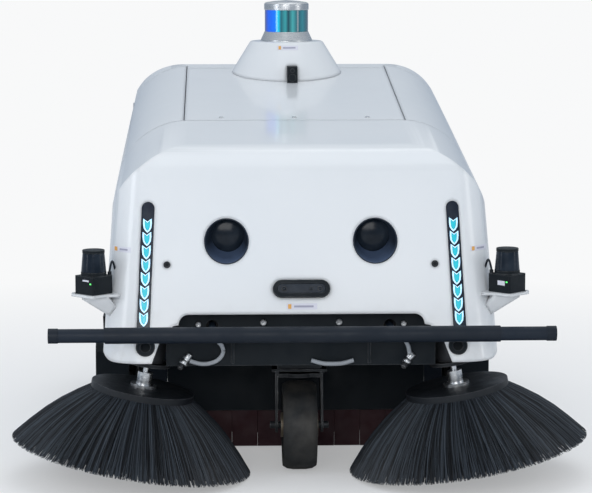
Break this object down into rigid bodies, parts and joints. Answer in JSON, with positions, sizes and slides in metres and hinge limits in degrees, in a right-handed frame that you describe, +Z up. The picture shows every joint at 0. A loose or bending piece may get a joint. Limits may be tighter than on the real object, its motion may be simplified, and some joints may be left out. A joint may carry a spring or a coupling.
{
  "type": "outdoor sweeping robot",
  "caption": "Self-driving floor sweeper with a white rounded body, tubular bumper bar, tilted side brushes, roof lidar and opening side covers.",
  "frame": {"origin": "on the ground under the middle of the machine's plan outline", "axes": "front faces -Y, +X is to the right seen from the front, +Z up"},
  "size_m": [1.2838, 1.48, 1.025],
  "materials": {
    "shell_white": "glossy white moulded cover",
    "frame_paint": "satin powder coat",
    "black_plastic": "fine grained black",
    "bar_paint": "satin near-black",
    "rubber_black": "matte",
    "silver": "turned satin",
    "lidar_window": "deep blue green, polished",
    "dark_lens": "polished dark window",
    "lamp_grey": "blue grey funnel",
    "led_body": "smoked cover",
    "led_light": "teal light element",
    "flap_rubber": "dark red rubber",
    "bristle": "blue black filament",
    "brush_black": "moulded",
    "motor_metal": "satin",
    "battery_blue": "moulded case",
    "computer_grey": "anodised, finned",
    "hose_grey": "ribbed hose",
    "tow_red": "forged, painted",
    "lamp_red": "tail lamp lens",
    "button_red": "mushroom button",
    "caster_metal": "zinc, dusty",
    "tyre_black": "dusty rubber"
  },
  "bodies": {
    "chassis": {"chassis_frame": "frame_paint", "roof_frame": "frame_paint", "front_cover": "shell_white", "spine_panel": "shell_white", "rear_surround": "shell_white", "sensor_pod": "shell_white", "pod_camera": "black_plastic", "top_lidar_base": "silver", "top_lidar_window": "lidar_window", "top_lidar_cap": "silver", "headlamp_housings": "lamp_grey", "headlamp_lenses": "dark_lens", "led_bars": "led_body", "led_chevrons": "led_light", "range_sensors": "black_plastic", "camera_housing": "black_plastic", "camera_glass": "dark_lens", "sensor_brackets": "shell_white", "side_lidar_bodies": "black_plastic", "side_lidar_windows": "dark_lens", "front_panel": "black_plastic", "battery_pack": "battery_blue", "control_computer": "computer_grey", "roller_housing": "black_plastic", "front_flap": "flap_rubber", "side_sills": "black_plastic", "hoses": "hose_grey", "wheel_motors": "motor_metal", "rear_bumper": "rubber_black", "tow_eye": "tow_red", "tail_lamps": "lamp_red", "cover_screws": "silver", "caster_plate": "frame_paint", "fan_housing": "black_plastic"},
    "bumper": {"bumper_tube": "bar_paint", "bumper_sleeve": "rubber_black", "bumper_end_caps": "rubber_black"},
    "arm_left": {"brush_arm_left": "frame_paint", "brush_motor_left": "motor_metal"},
    "brush_left": {"brush_hub_left": "silver", "brush_plate_left": "brush_black", "brush_bristles_left": "bristle"},
    "arm_right": {"brush_arm_right": "frame_paint", "brush_motor_right": "motor_metal"},
    "brush_right": {"brush_hub_right": "silver", "brush_plate_right": "brush_black", "brush_bristles_right": "bristle"},
    "caster_swivel_body": {"caster_fork": "frame_paint"},
    "caster_wheel_body": {"caster_wheel": "caster_metal", "caster_tyre": "tyre_black"},
    "drive_left": {"drive_wheel_left": "tyre_black"},
    "drive_right": {"drive_wheel_right": "tyre_black"},
    "roller": {"roller_core": "silver", "roller_bristles": "bristle"},
    "fan": {"fan_impeller": "black_plastic"},
    "hopper": {"hopper_bin": "black_plastic", "hopper_fascia": "black_plastic"},
    "side_door_left": {"door_left": "shell_white"},
    "side_door_right": {"door_right": "shell_white"},
    "estop": {"estop_button": "button_red"}
  },
  "joints": [
    {"name": "bumper_press", "type": "slide", "parent": "chassis", "child": "bumper", "axis": [0, 1, 0], "range_m": [0, 0.015]},
    {"name": "lift_left", "type": "hinge", "parent": "chassis", "child": "arm_left", "pos_m": [-0.345, -0.25, 0.3], "axis": [-1, 0, 0], "range_deg": [0, 8]},
    {"name": "spin_left", "type": "hinge", "parent": "arm_left", "child": "brush_left", "pos_m": [-0.35, -0.47, 0.195], "axis": [0.1736, 0, 0.9848], "continuous": true},
    {"name": "lift_right", "type": "hinge", "parent": "chassis", "child": "arm_right", "pos_m": [0.345, -0.25, 0.3], "axis": [-1, 0, 0], "range_deg": [0, 8]},
    {"name": "spin_right", "type": "hinge", "parent": "arm_right", "child": "brush_right", "pos_m": [0.35, -0.47, 0.195], "axis": [-0.1736, 0, 0.9848], "continuous": true},
    {"name": "caster_swivel", "type": "hinge", "parent": "chassis", "child": "caster_swivel_body", "pos_m": [0, -0.37, 0.21], "axis": [0, 0, 1], "continuous": true},
    {"name": "caster_roll", "type": "hinge", "parent": "caster_swivel_body", "child": "caster_wheel_body", "pos_m": [0, -0.414, 0.1], "axis": [1, 0, 0], "continuous": true},
    {"name": "drive_roll_left", "type": "hinge", "parent": "chassis", "child": "drive_left", "pos_m": [-0.42, 0.3, 0.128], "axis": [1, 0, 0], "continuous": true},
    {"name": "drive_roll_right", "type": "hinge", "parent": "chassis", "child": "drive_right", "pos_m": [0.42, 0.3, 0.128], "axis": [1, 0, 0], "continuous": true},
    {"name": "roller_spin", "type": "hinge", "parent": "chassis", "child": "roller", "pos_m": [0, -0.045, 0.15], "axis": [1, 0, 0], "continuous": true},
    {"name": "fan_spin", "type": "hinge", "parent": "chassis", "child": "fan", "pos_m": [0, 0.445, 0.4], "axis": [0, 0, 1], "continuous": true},
    {"name": "hopper_draw", "type": "slide", "parent": "chassis", "child": "hopper", "axis": [0, 1, 0], "range_m": [0, 0.45]},
    {"name": "door_left_hinge", "type": "hinge", "parent": "chassis", "child": "side_door_left", "pos_m": [-0.205, 0.00296, 0.75418], "axis": [0, 0.993, 0.1184], "range_deg": [0, 75]},
    {"name": "door_right_hinge", "type": "hinge", "parent": "chassis", "child": "side_door_right", "pos_m": [0.205, 0.00296, 0.75418], "axis": [0, -0.993, -0.1184], "range_deg": [0, 75]},
    {"name": "estop_press", "type": "slide", "parent": "chassis", "child": "estop", "axis": [0, -1, 0], "range_m": [0, 0.005]}
  ]
}
